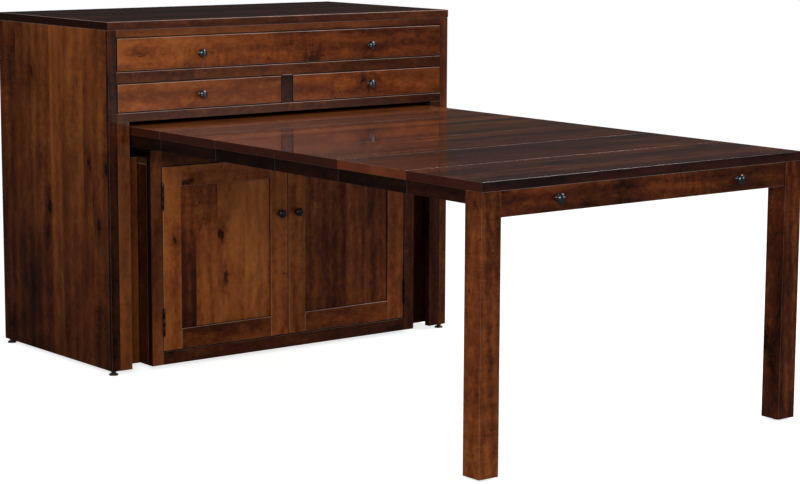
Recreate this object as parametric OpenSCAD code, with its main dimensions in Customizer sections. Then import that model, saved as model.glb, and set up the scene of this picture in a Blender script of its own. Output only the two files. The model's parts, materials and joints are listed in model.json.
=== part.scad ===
// Console cabinet with a pull-out dining table, standing open with four leaves laid in.
// Frame: origin on the floor at the middle of the whole footprint, +X right, +Y to the wall, +Z up.
// Inside the modules Y is counted from the console's front plane; placed() shifts it to the frame.

/* [Console] */
// Width of the console over its side panels
console_w = 1314; // [1280:1:1400]
// Depth of the console from its front plane to the wall
console_d = 674; // [640:1:740]
// Thickness of the console's top slab
console_top_t = 25; // [20:1:32]
// How far the top slab stands proud of the front
top_overhang = 3; // [0:1:15]
// Thickness of each side panel
side_t = 30; // [24:1:36]
// Thickness of the back panel
back_t = 8; // [5:1:12]
// Clear height under the panels, taken up by the feet
foot_h = 14; // [10:1:25]

/* [Face frame] */
// Thickness of the face-frame boards
frame_t = 22; // [18:1:26]
// Height of the rail under the console top
top_rail_h = 23; // [18:1:40]
// Height of the wide drawer's opening
wide_drawer_h = 104; // [90:1:125]
// Height of the rail between the drawers
middle_rail_h = 34; // [28:1:50]
// Height of the pair of lower drawers' openings
low_drawer_h = 90; // [80:1:105]
// Height of the rail over the table bay
bay_rail_h = 27; // [22:1:40]
// Width of the stile between the lower drawers
divider_w = 41; // [36:1:60]
// Width of the stiles beside the table bay
bay_stile_w = 42; // [38:1:50]

/* [Drawers] */
// Gap round each drawer front and door
reveal = 3; // [2:0.5:4]
// How far drawer fronts stand proud of the frame
front_proud = 1; // [0:0.5:4]
// Thickness of drawer fronts and doors
front_t = 20; // [18:1:24]
// Thickness of the drawer box boards
box_t = 12; // [10:1:16]
// Length of the drawer boxes
box_len = 560; // [450:10:580]
// Gap above a drawer box in its opening
box_headroom = 12; // [8:1:16]
// Thickness of the drawer bottoms
bottom_t = 6; // [4:1:9]
// Thickness of the guides beside the boxes
guide_t = 12; // [10:1:16]
// Height of those guides
guide_h = 30; // [20:1:40]
// Running gap between a box and its guides
guide_gap = 1; // [0.5:0.5:2]

/* [Leaf cabinet] */
// How far the cabinet face stands proud of the console's front plane
cabinet_proud = 3; // [0:1:6]
// Width of the cabinet's face stiles
cabinet_stile_w = 41; // [34:1:60]
// Height of the cabinet's top rail
cabinet_top_rail_h = 50; // [46:1:70]
// Height of the cabinet's base rail
cabinet_base_rail_h = 40; // [34:1:60]
// Depth of the leg recess beside the cabinet
recess_d = 70; // [66:1:90]
// Thickness of the cabinet's panels
panel_t = 18; // [15:1:22]

/* [Doors] */
// Width of the door stiles
door_stile_w = 66; // [50:1:80]
// Height of the door rails
door_rail_h = 64; // [50:1:80]
// Thickness of the flat door panels
door_panel_t = 8; // [6:1:10]
// Depth of the groove that holds a door panel
groove_d = 10; // [6:1:12]
// Length of each hinge
hinge_len = 80; // [60:2:90]
// Distance from a door's end to its hinge
hinge_inset = 50; // [40:1:90]
// Height of the door knobs above the floor
door_knob_z = 452; // [400:1:520]

/* [Table] */
// Height of the table surface
table_h = 762; // [740:1:780]
// Space between the table surface and the rail over it
table_clear = 14; // [8:1:20]
// Gap between the table's edge and the bay stiles
table_side_gap = 3; // [2:0.5:5]
// Thickness of the table boards
table_t = 25; // [22:1:28]
// Depth of the front section with the legs
front_section_d = 301; // [280:1:320]
// Depth of each leaf
leaf_d = 294; // [250:1:300]
// How far the fixed rear section reaches out of the bay
rear_out = 165; // [140:1:200]
// Side of the square legs
leg_w = 64; // [50:1:65]
// Gap between a closed leg and the cabinet's side
leg_gap = 3; // [2:0.5:5]
// Height of the glides under the legs
glide_h = 7; // [5:1:12]
// Radius of the glides
glide_r = 14; // [10:1:18]
// Height of the front apron
apron_h = 68; // [55:1:80]
// How far the apron stands back from the legs' front
apron_back = 2; // [0:0.5:6]
// Height of the skirts under the table's sides
skirt_h = 35; // [25:1:40]
// Thickness of the skirts and of the apron
skirt_t = 20; // [15:1:22]
// How far the skirts stand back from the table's edge
skirt_inset = 3; // [1:1:6]
// Gap between neighbouring table boards
leaf_gap = 0.4; // [0.3:0.1:0.8]

/* [Table slides] */
// Width of each wooden slide rail
rail_w = 22; // [18:1:26]
// Height of each slide rail
rail_h = 44; // [38:1:46]
// Space between the slide rails and the cabinet's top rail
rail_clear = 9.5; // [6:0.5:14]
// Running gap between neighbouring rails
rail_gap = 0.6; // [0.4:0.1:1]
// Height of the tongue that joins two rails
tongue_h = 10; // [8:1:14]
// Depth of the tongue past the running gap
tongue_d = 6; // [4:1:8]
// Distance from the middle to the outer face of the fixed rails
rail_x = 440; // [400:5:460]

/* [Hardware] */
// Radius of the knobs
knob_r = 14; // [12:0.5:18]
// How far the knobs stand off the wood
knob_proud = 25; // [22:1:32]
// Distance of the drawer and apron knobs from the middle
knob_x = 328; // [280:1:360]
// Distance of the door knobs from the middle
door_knob_x = 33; // [26:1:40]
// How far the wide drawer's knobs sit below its middle
knob_drop = 5; // [0:1:10]
// Radius of the knob screws
screw_r = 2; // [1.5:0.5:3]
// Radius of the levelling feet
foot_r = 14.5; // [10:0.5:15]
// Radius of the feet's threaded stems
stem_r = 5; // [4:0.5:6]
// Length of stem inside the wood
stem_len = 32; // [25:1:36]
// Radius of the threaded inserts that hold the stems
insert_r = 8; // [7:0.5:9]
// Distance of the feet from the console's front and back
foot_inset = 18; // [16:1:40]
// Chamfer on the boards' long edges
ease = 1.5; // [0.5:0.5:3]
// Clearance of stems, screws and pins in their bores
fit_gap = 0.1; // [0.05:0.05:0.1]

/* [Hidden] */
$fn = 48;
leaf_count = 4;
stage_count = 4;
seat_gap = 0.3;
slip = 0.5;
joint_gap = 0.1;
end_gap = 2;
over = 1;
half_w = console_w / 2;
inner_x = half_w - side_t;
bay_x = inner_x - bay_stile_w;
back_y = console_d - back_t;

bay_z = table_h + table_clear;
low_drawer_z0 = bay_z + bay_rail_h;
low_drawer_z1 = low_drawer_z0 + low_drawer_h;
wide_drawer_z0 = low_drawer_z1 + middle_rail_h;
wide_drawer_z1 = wide_drawer_z0 + wide_drawer_h;
top_under = wide_drawer_z1 + top_rail_h;
console_h = top_under + console_top_t;
box_y = front_t - front_proud;
partition_x = panel_t / 2;
guide_len = back_y - frame_t;

table_under = table_h - table_t;
half_table = bay_x - table_side_gap;
leg_x = half_table - leg_w;
skirt_x = half_table - skirt_inset - skirt_t;
section_y = -rear_out - leaf_count * leaf_d;
table_y = section_y - front_section_d;
apron_y = table_y + apron_back;
rear_end_gap = 20;
rear_len = back_y - rear_end_gap - front_section_d;

rail_top = table_under - seat_gap;
rail_z = rail_top - rail_h;
rail_y = frame_t + end_gap;
rail_len = back_y - end_gap - rail_y;
closed_proud = cabinet_proud + skirt_t + end_gap;
stage_step = (-table_y - closed_proud) / stage_count;
runner_h = 30;
runner_inset = 10;
tongue_z = (rail_h - tongue_h) / 2;

cabinet_x = leg_x - leg_gap;
cabinet_h = rail_z - rail_clear;
cabinet_y = frame_t - cabinet_proud;
door_x = cabinet_x - cabinet_stile_w;
door_z0 = foot_h + cabinet_base_rail_h;
door_z1 = cabinet_h - cabinet_top_rail_h;
deck_top = door_z1 + cabinet_top_rail_h / 2;
deck_z = deck_top - panel_t;
door_y = -cabinet_proud;
door_lo = [reveal / 2, door_y, door_z0 + reveal];
door_hi = [door_x - reveal, door_y + front_t, door_z1 - reveal];
door_panel_y = door_y + (front_t - door_panel_t) / 2;

knuckle_gap = 0.4;
hinge_r = 3;
hinge_pin_r = 1.2;
hinge_leaf_t = (reveal - knuckle_gap) / 2;
hinge_leaf_d = 16;
hinge_tip_r = 2.2;
knuckle = hinge_len / 3;
frame_knuckles = [[0, knuckle - knuckle_gap / 2], [2 * knuckle + knuckle_gap / 2, hinge_len]];
door_knuckles = [[knuckle + knuckle_gap / 2, 2 * knuckle - knuckle_gap / 2]];
hinge_x = door_x - reveal / 2;
hinge_y = door_y - hinge_r - knuckle_gap;
hinge_zs = [door_lo.z + hinge_inset, door_hi.z - hinge_inset - hinge_len];

apron_knob_z = table_under - apron_h / 2;
wide_knob_z = (wide_drawer_z0 + wide_drawer_z1) / 2 - knob_drop;
low_knob_z = (low_drawer_z0 + low_drawer_z1) / 2;
knob_head_z = knob_proud * 0.66;
knob_foot_r = knob_r * 0.62;
knob_neck_r = knob_r * 0.36;
knob_foot_h = 2;
knob_neck_h = 4.5;
screw_head_t = 2;
drawer_knob_wood = front_t + box_t;
box_outer_x = inner_x - guide_t - guide_gap;
box_inner_x = max(partition_x + guide_t, divider_w / 2) + guide_gap;

foot_x = half_w - side_t / 2;
foot_ys = [foot_inset, console_d - foot_inset];
foot_disc_h = 4;
foot_flare_h = 5;
foot_neck_r = 6.5;
glide_stem_r = 3;
glide_stem_len = 15;

reach = -apron_y + knob_proud;
console_front_y = (reach - console_d) / 2;

near_black = [0.11, 0.06, 0.04];
dark_brown = [0.18, 0.09, 0.05];
red_brown = [0.38, 0.18, 0.09];
plywood = [0.50, 0.34, 0.22];
maple = [0.72, 0.58, 0.40];
iron = [0.08, 0.08, 0.09];
steel = [0.62, 0.62, 0.64];

// Moves a piece from the console's front plane to the shared frame
module placed() {
    translate([0, console_front_y, 0]) children();
}

// Draws its children on the right, and their mirror image on the left
module both_sides() {
    children();
    left() children();
}

// Mirror image on the left of a piece drawn on the right
module left() {
    mirror([1, 0, 0]) children();
}

// Rectangle a by b with its four corners cut at 45 degrees
module eased_rectangle(a, b, cut) {
    polygon([
        [cut, 0], [a - cut, 0], [a, cut], [a, b - cut],
        [a - cut, b], [cut, b], [0, b - cut], [0, cut]
    ]);
}

// Board between two corners, its four edges along the grain eased
module board(lo, hi, along, cut = ease) {
    size = hi - lo;
    translate(lo) {
        if (along == "x")
            rotate([90, 0, 90]) linear_extrude(size.x) eased_rectangle(size.y, size.z, cut);
        if (along == "y")
            translate([0, size.y, 0])
                rotate([90, 0, 0]) linear_extrude(size.y) eased_rectangle(size.x, size.z, cut);
        if (along == "z")
            linear_extrude(size.z) eased_rectangle(size.x, size.y, cut);
    }
}

// Sheet or strip between two corners, with square edges
module block(lo, hi) {
    translate(lo) cube(hi - lo);
}

// Cylinder along Y from the face at y towards the wall
module along_y(x, y, z, r, len) {
    translate([x, y, z]) rotate([-90, 0, 0]) cylinder(h = len, r = r);
}

module left_side_panel() {
    color(red_brown) placed() left() side_board();
}

module right_side_panel() {
    color(red_brown) placed() side_board();
}

module side_board() {
    difference() {
        board([inner_x, 0, foot_h], [half_w, console_d, top_under], "z");
        for (y = foot_ys)
            translate([foot_x, y, foot_h - over])
                cylinder(h = stem_len + 2 * over, r = insert_r + fit_gap);
    }
}

module console_top() {
    color(near_black) placed()
        board([-half_w, -top_overhang, top_under], [half_w, console_d, console_h], "x", 2 * ease);
}

module back_panel() {
    color(plywood) placed()
        block([-inner_x, back_y, foot_h], [inner_x, console_d, top_under]);
}

// One rail of the console's face frame
module face_rail(z0, z1) {
    color(dark_brown) placed() board([-inner_x, 0, z0], [inner_x, frame_t, z1], "x");
}

module top_rail() {
    face_rail(wide_drawer_z1, top_under);
}

module middle_rail() {
    face_rail(low_drawer_z1, wide_drawer_z0);
}

module bay_rail() {
    face_rail(bay_z, low_drawer_z0);
}

module drawer_divider() {
    color(dark_brown) placed()
        board([-divider_w / 2, 0, low_drawer_z0], [divider_w / 2, frame_t, low_drawer_z1], "z");
}

module bay_stiles() {
    color(dark_brown) placed() both_sides()
        board([bay_x, 0, foot_h], [inner_x, frame_t, bay_z], "z");
}

// Panel across the console that carries a drawer, its top flush with its rail's top
module drawer_carrier(top_z) {
    color(plywood) placed()
        block([-inner_x, frame_t, top_z - panel_t], [inner_x, back_y, top_z]);
}

module drawer_web() {
    drawer_carrier(wide_drawer_z0);
}

module bay_deck() {
    drawer_carrier(low_drawer_z0);
}

module drawer_partition() {
    color(plywood) placed()
        block([-partition_x, frame_t, low_drawer_z0],
              [partition_x, back_y, wide_drawer_z0 - panel_t]);
}

// Strip that keeps a drawer box straight, on the right
module guide(x, z) {
    board([x, frame_t, z], [x + guide_t, frame_t + guide_len, z + guide_h], "y");
}

module drawer_guides() {
    color(maple) placed() both_sides() {
        guide(inner_x - guide_t, wide_drawer_z0);
        guide(inner_x - guide_t, low_drawer_z0);
        guide(partition_x, low_drawer_z0);
    }
}

module cabinet_stiles() {
    color(dark_brown) placed() both_sides()
        board([door_x, -cabinet_proud, foot_h], [cabinet_x, cabinet_y, cabinet_h], "z");
}

// Rail of the leaf cabinet's face frame
module cabinet_rail(z0, z1) {
    color(dark_brown) placed() board([-door_x, -cabinet_proud, z0], [door_x, cabinet_y, z1], "x");
}

module cabinet_top_rail() {
    cabinet_rail(door_z1, cabinet_h);
}

module cabinet_base_rail() {
    cabinet_rail(foot_h, door_z0);
}

module cabinet_sides() {
    color(red_brown) placed() both_sides()
        block([cabinet_x - panel_t, cabinet_y, foot_h], [cabinet_x, back_y, deck_z]);
}

module recess_backs() {
    color(red_brown) placed() both_sides()
        block([cabinet_x, recess_d, foot_h], [inner_x, recess_d + back_t, deck_top]);
}

module cabinet_deck() {
    color(plywood) placed()
        block([-cabinet_x, cabinet_y, deck_z], [cabinet_x, back_y, deck_top]);
}

module cabinet_floor() {
    floor_x = cabinet_x - panel_t;
    color(plywood) placed()
        block([-floor_x, cabinet_y, door_z0 - panel_t], [floor_x, back_y, door_z0]);
}

// Barrel and leaf of a butt hinge, for the knuckles between two heights
module hinge_half(z, plate_x, spans) {
    translate([0, 0, z]) difference() {
        union() {
            translate([plate_x, hinge_y, 0])
                cube([hinge_leaf_t, hinge_leaf_d - hinge_y + door_y, hinge_len]);
            for (span = spans)
                translate([hinge_x, hinge_y, span[0]])
                    cylinder(h = span[1] - span[0], r = hinge_r);
        }
        for (span = hinge_voids(spans))
            translate([hinge_x - hinge_r - over, hinge_y - hinge_r - over, span[0]])
                cube([2 * (hinge_r + over), 2 * hinge_r + over + knuckle_gap / 2, span[1] - span[0]]);
        translate([hinge_x, hinge_y, -over])
            cylinder(h = hinge_len + 2 * over, r = hinge_pin_r + fit_gap);
    }
}

// The stretches of a hinge's length between the given knuckles
function hinge_voids(spans) = len(spans) == 2
    ? [[spans[0][1], spans[1][0]]]
    : [[-over, spans[0][0]], [spans[0][1], hinge_len + over]];

module frame_hinge_leaves() {
    color(iron) placed() both_sides()
        for (z = hinge_zs) hinge_half(z, door_x - hinge_leaf_t, frame_knuckles);
}

module hinge_pins() {
    color(iron) placed() both_sides() for (z = hinge_zs) translate([hinge_x, hinge_y, z]) {
        cylinder(h = hinge_len, r = hinge_pin_r);
        for (tip = [-hinge_tip_r, hinge_len])
            translate([0, 0, tip]) cylinder(h = hinge_tip_r, r = hinge_tip_r);
    }
}

// Cross-section of a slide rail, its outer face at rail_w
module rail_section(height, tongue, groove) {
    difference() {
        union() {
            square([rail_w, height]);
            if (tongue)
                translate([rail_w - over, tongue_z]) square([over + rail_gap + tongue_d, tongue_h]);
        }
        if (groove)
            translate([-over, tongue_z - slip])
                square([over + tongue_d + slip, tongue_h + 2 * slip]);
    }
}

// Pair of slide rails of one stage, run out by that many steps
module slide_rails(stage, height = rail_h, tongue = true, groove = true) {
    x = rail_x - rail_w - stage * (rail_w + rail_gap);
    color(maple) placed() both_sides()
        translate([x, rail_y + rail_len - stage * stage_step, rail_z])
            rotate([90, 0, 0]) linear_extrude(rail_len) rail_section(height, tongue, groove);
}

module fixed_slide_rails() {
    slide_rails(0, tongue = false);
}

module slide_rails_1() {
    slide_rails(1);
}

module slide_rails_2() {
    slide_rails(2);
}

module slide_rails_3() {
    slide_rails(3);
}

module front_slide_rails() {
    slide_rails(stage_count, height = rail_h + seat_gap, groove = false);
}

module slide_cleats() {
    color(maple) placed() both_sides()
        block([rail_x - rail_w, rail_y, deck_top], [rail_x, rail_y + rail_len, rail_z]);
}

// Threaded bushes in the side panels' lower edges
module foot_inserts() {
    color(steel) placed() both_sides() for (y = foot_ys) translate([foot_x, y, foot_h]) difference() {
        cylinder(h = stem_len, r = insert_r);
        translate([0, 0, -over]) cylinder(h = stem_len + 2 * over, r = stem_r + fit_gap);
    }
}

module levelling_feet() {
    color(steel) placed() both_sides() for (y = foot_ys) translate([foot_x, y, 0]) {
        cylinder(h = foot_disc_h, r = foot_r);
        translate([0, 0, foot_disc_h])
            cylinder(h = foot_flare_h, r1 = foot_neck_r + foot_flare_h / 2, r2 = foot_neck_r);
        cylinder(h = foot_h + stem_len, r = stem_r);
    }
}

// Board of the table top between two depths
module table_board(y0, y1) {
    color(near_black) placed()
        board([-half_table, y0, table_under], [half_table, y1, table_h], "x");
}

// Pair of skirts under the table's sides between two depths
module skirts(y0, y1) {
    color(dark_brown) placed() both_sides()
        board([skirt_x, y0, table_under - skirt_h], [skirt_x + skirt_t, y1, table_under - joint_gap], "y");
}

module rear_top() {
    table_board(-rear_out + leaf_gap / 2, rear_len - rear_out);
}

module rear_skirts() {
    skirts(-rear_out + leaf_gap / 2, rear_len - rear_out);
}

module rear_runners() {
    color(maple) placed() both_sides()
        board([rail_x + rail_gap, runner_inset - rear_out, table_under - runner_h],
              [rail_x + rail_gap + rail_w, rear_len - rear_out - runner_inset, table_under], "y");
}

module front_top() {
    table_board(table_y, section_y - leaf_gap / 2);
}

module left_leg() {
    color(dark_brown) placed() left() leg();
}

module right_leg() {
    color(dark_brown) placed() leg();
}

module leg() {
    difference() {
        board([leg_x, table_y, glide_h], [half_table, table_y + leg_w, table_under], "z", 2 * ease);
        translate([leg_x + leg_w / 2, table_y + leg_w / 2, glide_h - over])
            cylinder(h = glide_stem_len + 2 * over, r = glide_stem_r + fit_gap);
    }
}

module leg_glides() {
    color(iron) placed() both_sides()
        translate([leg_x + leg_w / 2, table_y + leg_w / 2, 0]) {
            cylinder(h = glide_h, r = glide_r);
            cylinder(h = glide_h + glide_stem_len, r = glide_stem_r);
        }
}

module front_apron() {
    color(dark_brown) placed() difference() {
        board([-leg_x, apron_y, table_under - apron_h],
              [leg_x, apron_y + skirt_t, table_under], "x");
        for (x = [-knob_x, knob_x])
            along_y(x, apron_y - over, apron_knob_z, screw_r + fit_gap, skirt_t + 2 * over);
    }
}

module front_skirts() {
    skirts(table_y + leg_w, section_y - leaf_gap / 2);
}

module apron_knobs() {
    color(iron) placed() for (x = [-knob_x, knob_x]) knob(x, apron_y, apron_knob_z, skirt_t);
}

// Turned knob standing off the face at y, with the screw that holds it through the wood
module knob(x, y, z, wood) {
    head_half = knob_proud - knob_head_z;
    translate([x, y, z]) rotate([90, 0, 0]) difference() {
        rotate_extrude() polygon(concat(
            [[0, 0], [knob_foot_r, 0], [knob_foot_r, knob_foot_h], [knob_neck_r, knob_neck_h]],
            [for (a = [-70:10:90]) [knob_r * cos(a), knob_head_z + head_half * sin(a)]]
        ));
        translate([0, 0, -over]) cylinder(h = knob_head_z + over, r = screw_r + fit_gap);
    }
    along_y(x, y - knob_head_z + over, z, screw_r, wood + knob_head_z - over);
    along_y(x, y + wood, z, 2 * screw_r, screw_head_t);
}

// One leaf, laid in at its place, with its own skirts
module leaf(i) {
    y0 = section_y + (i - 1) * leaf_d + leaf_gap / 2;
    y1 = y0 + leaf_d - leaf_gap;
    table_board(y0, y1);
    skirts(y0, y1);
}

module leaf_1() {
    leaf(1);
}

module leaf_2() {
    leaf(2);
}

module leaf_3() {
    leaf(3);
}

module leaf_4() {
    leaf(4);
}

// Drawer front over an opening from x0 to x1 and z0 to z1, bored for its knobs
module drawer_front(x0, x1, z0, z1, knobs, knob_z) {
    color(red_brown) placed() difference() {
        board([x0 + reveal, -front_proud, z0 + reveal],
              [x1 - reveal, box_y, z1 - reveal], "x");
        for (x = knobs)
            along_y(x, -front_proud - over, knob_z, screw_r + fit_gap, front_t + 2 * over);
    }
}

// Drawer box of four boards and a bottom, its front board bored for the knobs
module drawer_box(x0, x1, z0, opening_h, knobs, knob_z) {
    z = z0 + seat_gap;
    top = z + opening_h - box_headroom;
    y1 = box_y + box_len;
    ix0 = x0 + box_t + joint_gap;
    ix1 = x1 - box_t - joint_gap;
    color(maple) placed() {
        for (x = [x0, x1 - box_t])
            block([x, box_y, z], [x + box_t, y1, top]);
        block([ix0, y1 - box_t, z], [ix1, y1, top]);
        difference() {
            block([ix0, box_y, z], [ix1, box_y + box_t, top]);
            for (x = knobs)
                along_y(x, box_y - over, knob_z, screw_r + fit_gap, box_t + 2 * over);
        }
        block([ix0, box_y + box_t + joint_gap, z + bottom_t],
              [ix1, y1 - box_t - joint_gap, z + 2 * bottom_t]);
    }
}

module wide_drawer_front() {
    drawer_front(-inner_x, inner_x, wide_drawer_z0, wide_drawer_z1, [-knob_x, knob_x], wide_knob_z);
}

module wide_drawer_box() {
    drawer_box(-box_outer_x, box_outer_x, wide_drawer_z0, wide_drawer_h,
               [-knob_x, knob_x], wide_knob_z);
}

module wide_drawer_knobs() {
    color(iron) placed() for (x = [-knob_x, knob_x])
        knob(x, -front_proud, wide_knob_z, drawer_knob_wood);
}

module right_drawer_front() {
    drawer_front(divider_w / 2, inner_x, low_drawer_z0, low_drawer_z1, [knob_x], low_knob_z);
}

module right_drawer_box() {
    drawer_box(box_inner_x, box_outer_x, low_drawer_z0, low_drawer_h, [knob_x], low_knob_z);
}

module right_drawer_knob() {
    color(iron) placed() knob(knob_x, -front_proud, low_knob_z, drawer_knob_wood);
}

module left_drawer_front() {
    left() right_drawer_front();
}

module left_drawer_box() {
    left() right_drawer_box();
}

module left_drawer_knob() {
    left() right_drawer_knob();
}

// Groove for the panel round the inside of a door frame
module panel_groove() {
    grow = [groove_d, 0, groove_d];
    block([door_lo.x + door_stile_w, door_panel_y, door_lo.z + door_rail_h] - grow,
          [door_hi.x - door_stile_w, door_panel_y + door_panel_t, door_hi.z - door_rail_h] + grow);
}

module right_door_frame() {
    color(red_brown) placed() {
        difference() {
            union() {
                board(door_lo, [door_lo.x + door_stile_w, door_hi.y, door_hi.z], "z");
                board([door_hi.x - door_stile_w, door_lo.y, door_lo.z], door_hi, "z");
            }
            panel_groove();
            along_y(door_knob_x, door_y - over, door_knob_z, screw_r + fit_gap, front_t + 2 * over);
        }
        difference() {
            for (z = [door_lo.z, door_hi.z - door_rail_h])
                board([door_lo.x + door_stile_w + joint_gap, door_lo.y, z],
                      [door_hi.x - door_stile_w - joint_gap, door_hi.y, z + door_rail_h], "x");
            panel_groove();
        }
    }
}

module right_door_panel() {
    grow = [groove_d - end_gap, 0, groove_d - end_gap];
    color(red_brown) placed()
        block([door_lo.x + door_stile_w, door_panel_y, door_lo.z + door_rail_h] - grow,
              [door_hi.x - door_stile_w, door_panel_y + door_panel_t, door_hi.z - door_rail_h] + grow);
}

module right_door_hardware() {
    color(iron) placed() {
        knob(door_knob_x, door_y, door_knob_z, front_t);
        for (z = hinge_zs) hinge_half(z, door_hi.x, door_knuckles);
    }
}

module left_door_frame() {
    left() right_door_frame();
}

module left_door_panel() {
    left() right_door_panel();
}

module left_door_hardware() {
    left() right_door_hardware();
}

left_side_panel();
right_side_panel();
console_top();
back_panel();
top_rail();
middle_rail();
bay_rail();
drawer_divider();
bay_stiles();
drawer_web();
bay_deck();
drawer_partition();
drawer_guides();
cabinet_stiles();
cabinet_top_rail();
cabinet_base_rail();
cabinet_sides();
recess_backs();
cabinet_deck();
cabinet_floor();
frame_hinge_leaves();
hinge_pins();
fixed_slide_rails();
slide_cleats();
foot_inserts();
levelling_feet();
rear_top();
rear_skirts();
rear_runners();
slide_rails_1();
slide_rails_2();
slide_rails_3();
front_top();
left_leg();
right_leg();
front_apron();
front_skirts();
front_slide_rails();
apron_knobs();
leg_glides();
leaf_1();
leaf_2();
leaf_3();
leaf_4();
wide_drawer_front();
wide_drawer_box();
wide_drawer_knobs();
left_drawer_front();
left_drawer_box();
left_drawer_knob();
right_drawer_front();
right_drawer_box();
right_drawer_knob();
left_door_frame();
left_door_panel();
left_door_hardware();
right_door_frame();
right_door_panel();
right_door_hardware();
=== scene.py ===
"""Looks of the extending console table: stained maple boards, dark knobs and hinges, around the CAD frame."""
import json
import math
import random

import bmesh
import bpy
from mathutils import Matrix, Vector

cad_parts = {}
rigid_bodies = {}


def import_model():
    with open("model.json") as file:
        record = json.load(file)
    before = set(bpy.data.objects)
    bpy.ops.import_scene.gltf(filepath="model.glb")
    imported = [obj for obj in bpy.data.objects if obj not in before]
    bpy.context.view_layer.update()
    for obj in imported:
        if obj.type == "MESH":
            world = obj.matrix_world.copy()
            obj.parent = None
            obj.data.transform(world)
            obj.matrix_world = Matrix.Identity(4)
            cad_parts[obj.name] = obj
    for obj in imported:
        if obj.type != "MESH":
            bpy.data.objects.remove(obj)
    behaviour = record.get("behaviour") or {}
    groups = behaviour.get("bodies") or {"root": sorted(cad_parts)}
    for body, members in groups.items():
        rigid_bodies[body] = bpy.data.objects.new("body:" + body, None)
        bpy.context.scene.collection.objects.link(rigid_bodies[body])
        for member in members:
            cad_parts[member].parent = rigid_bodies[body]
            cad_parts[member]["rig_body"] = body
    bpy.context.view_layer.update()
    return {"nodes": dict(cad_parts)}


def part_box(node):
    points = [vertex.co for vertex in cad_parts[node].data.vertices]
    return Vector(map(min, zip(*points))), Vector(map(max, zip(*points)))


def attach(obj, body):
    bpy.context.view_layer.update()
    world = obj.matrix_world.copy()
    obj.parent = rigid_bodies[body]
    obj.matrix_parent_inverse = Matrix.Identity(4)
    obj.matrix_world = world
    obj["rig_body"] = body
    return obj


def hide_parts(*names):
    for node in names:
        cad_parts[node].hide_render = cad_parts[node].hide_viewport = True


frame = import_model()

AXES = {"x": 0, "y": 1, "z": 2}
MM = 0.001

# The photograph's view: camera place in metres, angles in radians, focal length in pixels of its image
CAMERA_PLACE = (-4.1832, -5.3828, 1.4741)
CAMERA_YAW = 0.66839
CAMERA_PITCH = -0.15375
CAMERA_ROLL = 0.00496
FOCAL_PIXELS = 2275.3
IMAGE_WIDTH = 800
SENSOR = 36.0

# Light: strength of the world on diffuse surfaces and in reflections; the floor's own glow to the camera,
# its paint, and its paint as reflections see it
FILL = 0.26
ROOM = 0.034
FLOOR_GLOW = 0.79
FLOOR_WHITE = 0.80
FLOOR_IN_GLOSS = 0.08
FLOOR_SIZE = 60
# Lamps: name, place, the point each looks at, its sides in metres, power in watts
LAMPS = [
    ("key", (-4.6, -4.4, 3.4), (0.0, -0.1, 0.6), (2.4, 2.4), 190),
    ("right_fill", (3.0, -4.4, 2.4), (0.0, -0.1, 0.6), (1.8, 1.8), 35),
    ("top_light", (2.4, -0.9, 4.0), (0, 0.3, 1.0), (2.2, 1.3), 80),
]

# Width of the boards' eased edges, and the nodes whose edges are sharper
EASE = 2.0 * MM
SHARP_EASE = 0.5 * MM
SHARP_BOARDS = (
    "bay_stiles", "cabinet_base_rail", "cabinet_top_rail", "cabinet_stiles", "left_leg", "right_leg",
    "front_skirts", "rear_skirts")
EASE_SEGMENTS = 3
# Depth and tone of the painted shade on the outer sides of the leaf cabinet's stiles: a darker skin where the
# leg recesses' shade falls
PAINTED_SHADE_DEPTH = 1.5 * MM
PAINTED_SHADE_TONE = -0.42
# Tone of the skirts under the table's sides
SKIRT_TONE = -0.38

# Turned shapes as (radius, height) in millimetres; in a knob's foot the radius is a share of the knob's own
SCREW_HEAD = [(0, 0), (4, 0), (4, 0.9), (3.2, 1.8), (0, 2)]
KNOB_FOOT = [
    (0, 0), (0.60, 0), (0.62, 0.8), (0.60, 1.9), (0.50, 2.6), (0.38, 3.6), (0.33, 5.2), (0.34, 7.0)]
# Rim of a glide, as (distance in from its edge, height) in millimetres
GLIDE_RIM = [(2, 0), (0.6, 0.6), (0, 2), (0, 5.4), (1, 7)]
# Place of a knob head's middle as a share of the knob's length, and the angle where the head starts
KNOB_HEAD_AT = 0.62
KNOB_HEAD_START = -62
# Sizes that tell the solids of the hardware apart
KNOB_WIDER_THAN = 20 * MM
KNOB_LOWER_THAN = 40 * MM
SCREW_THINNER_THAN = 12 * MM
LEAF_DEEPER_THAN = 10 * MM
LEAF_HIGHER_THAN = 40 * MM

# Hinges: bead round a knuckle, gap between knuckles, ball tip of the pin, leaves
KNUCKLE_BEAD = 0.5 * MM
KNUCKLE_GAP = 0.2 * MM
PIN_BALL = 2.0 * MM
PIN_BALL_SUNK = 0.9
LEAF_THICK = 0.8 * MM
LEAF_OFFSET = 1 * MM
LEAF_EDGE = 0.2 * MM

# Levelling feet: the pad's neck and top, its rim, the nut above it, the thread of the stem
PAD_NECK = 6.2 * MM
PAD_SHOULDER = 9.4 * MM
PAD_TOP = 9.6 * MM
PAD_INSET = 1.5 * MM
PAD_RIM = 1.2 * MM
PAD_HEIGHT = 3.4 * MM
NUT_CORNER = 9.5 * MM
NUT_CHAMFER = 0.6 * MM
NUT_PLAY = 0.1 * MM
THREAD_PITCH = 1.5 * MM
THREAD_ROOT = 4.4 * MM
THREAD_CREST = 5 * MM
# A radius below this is a point on the axis of a turned shape
ON_AXIS = 1e-6

random.seed(7)


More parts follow.
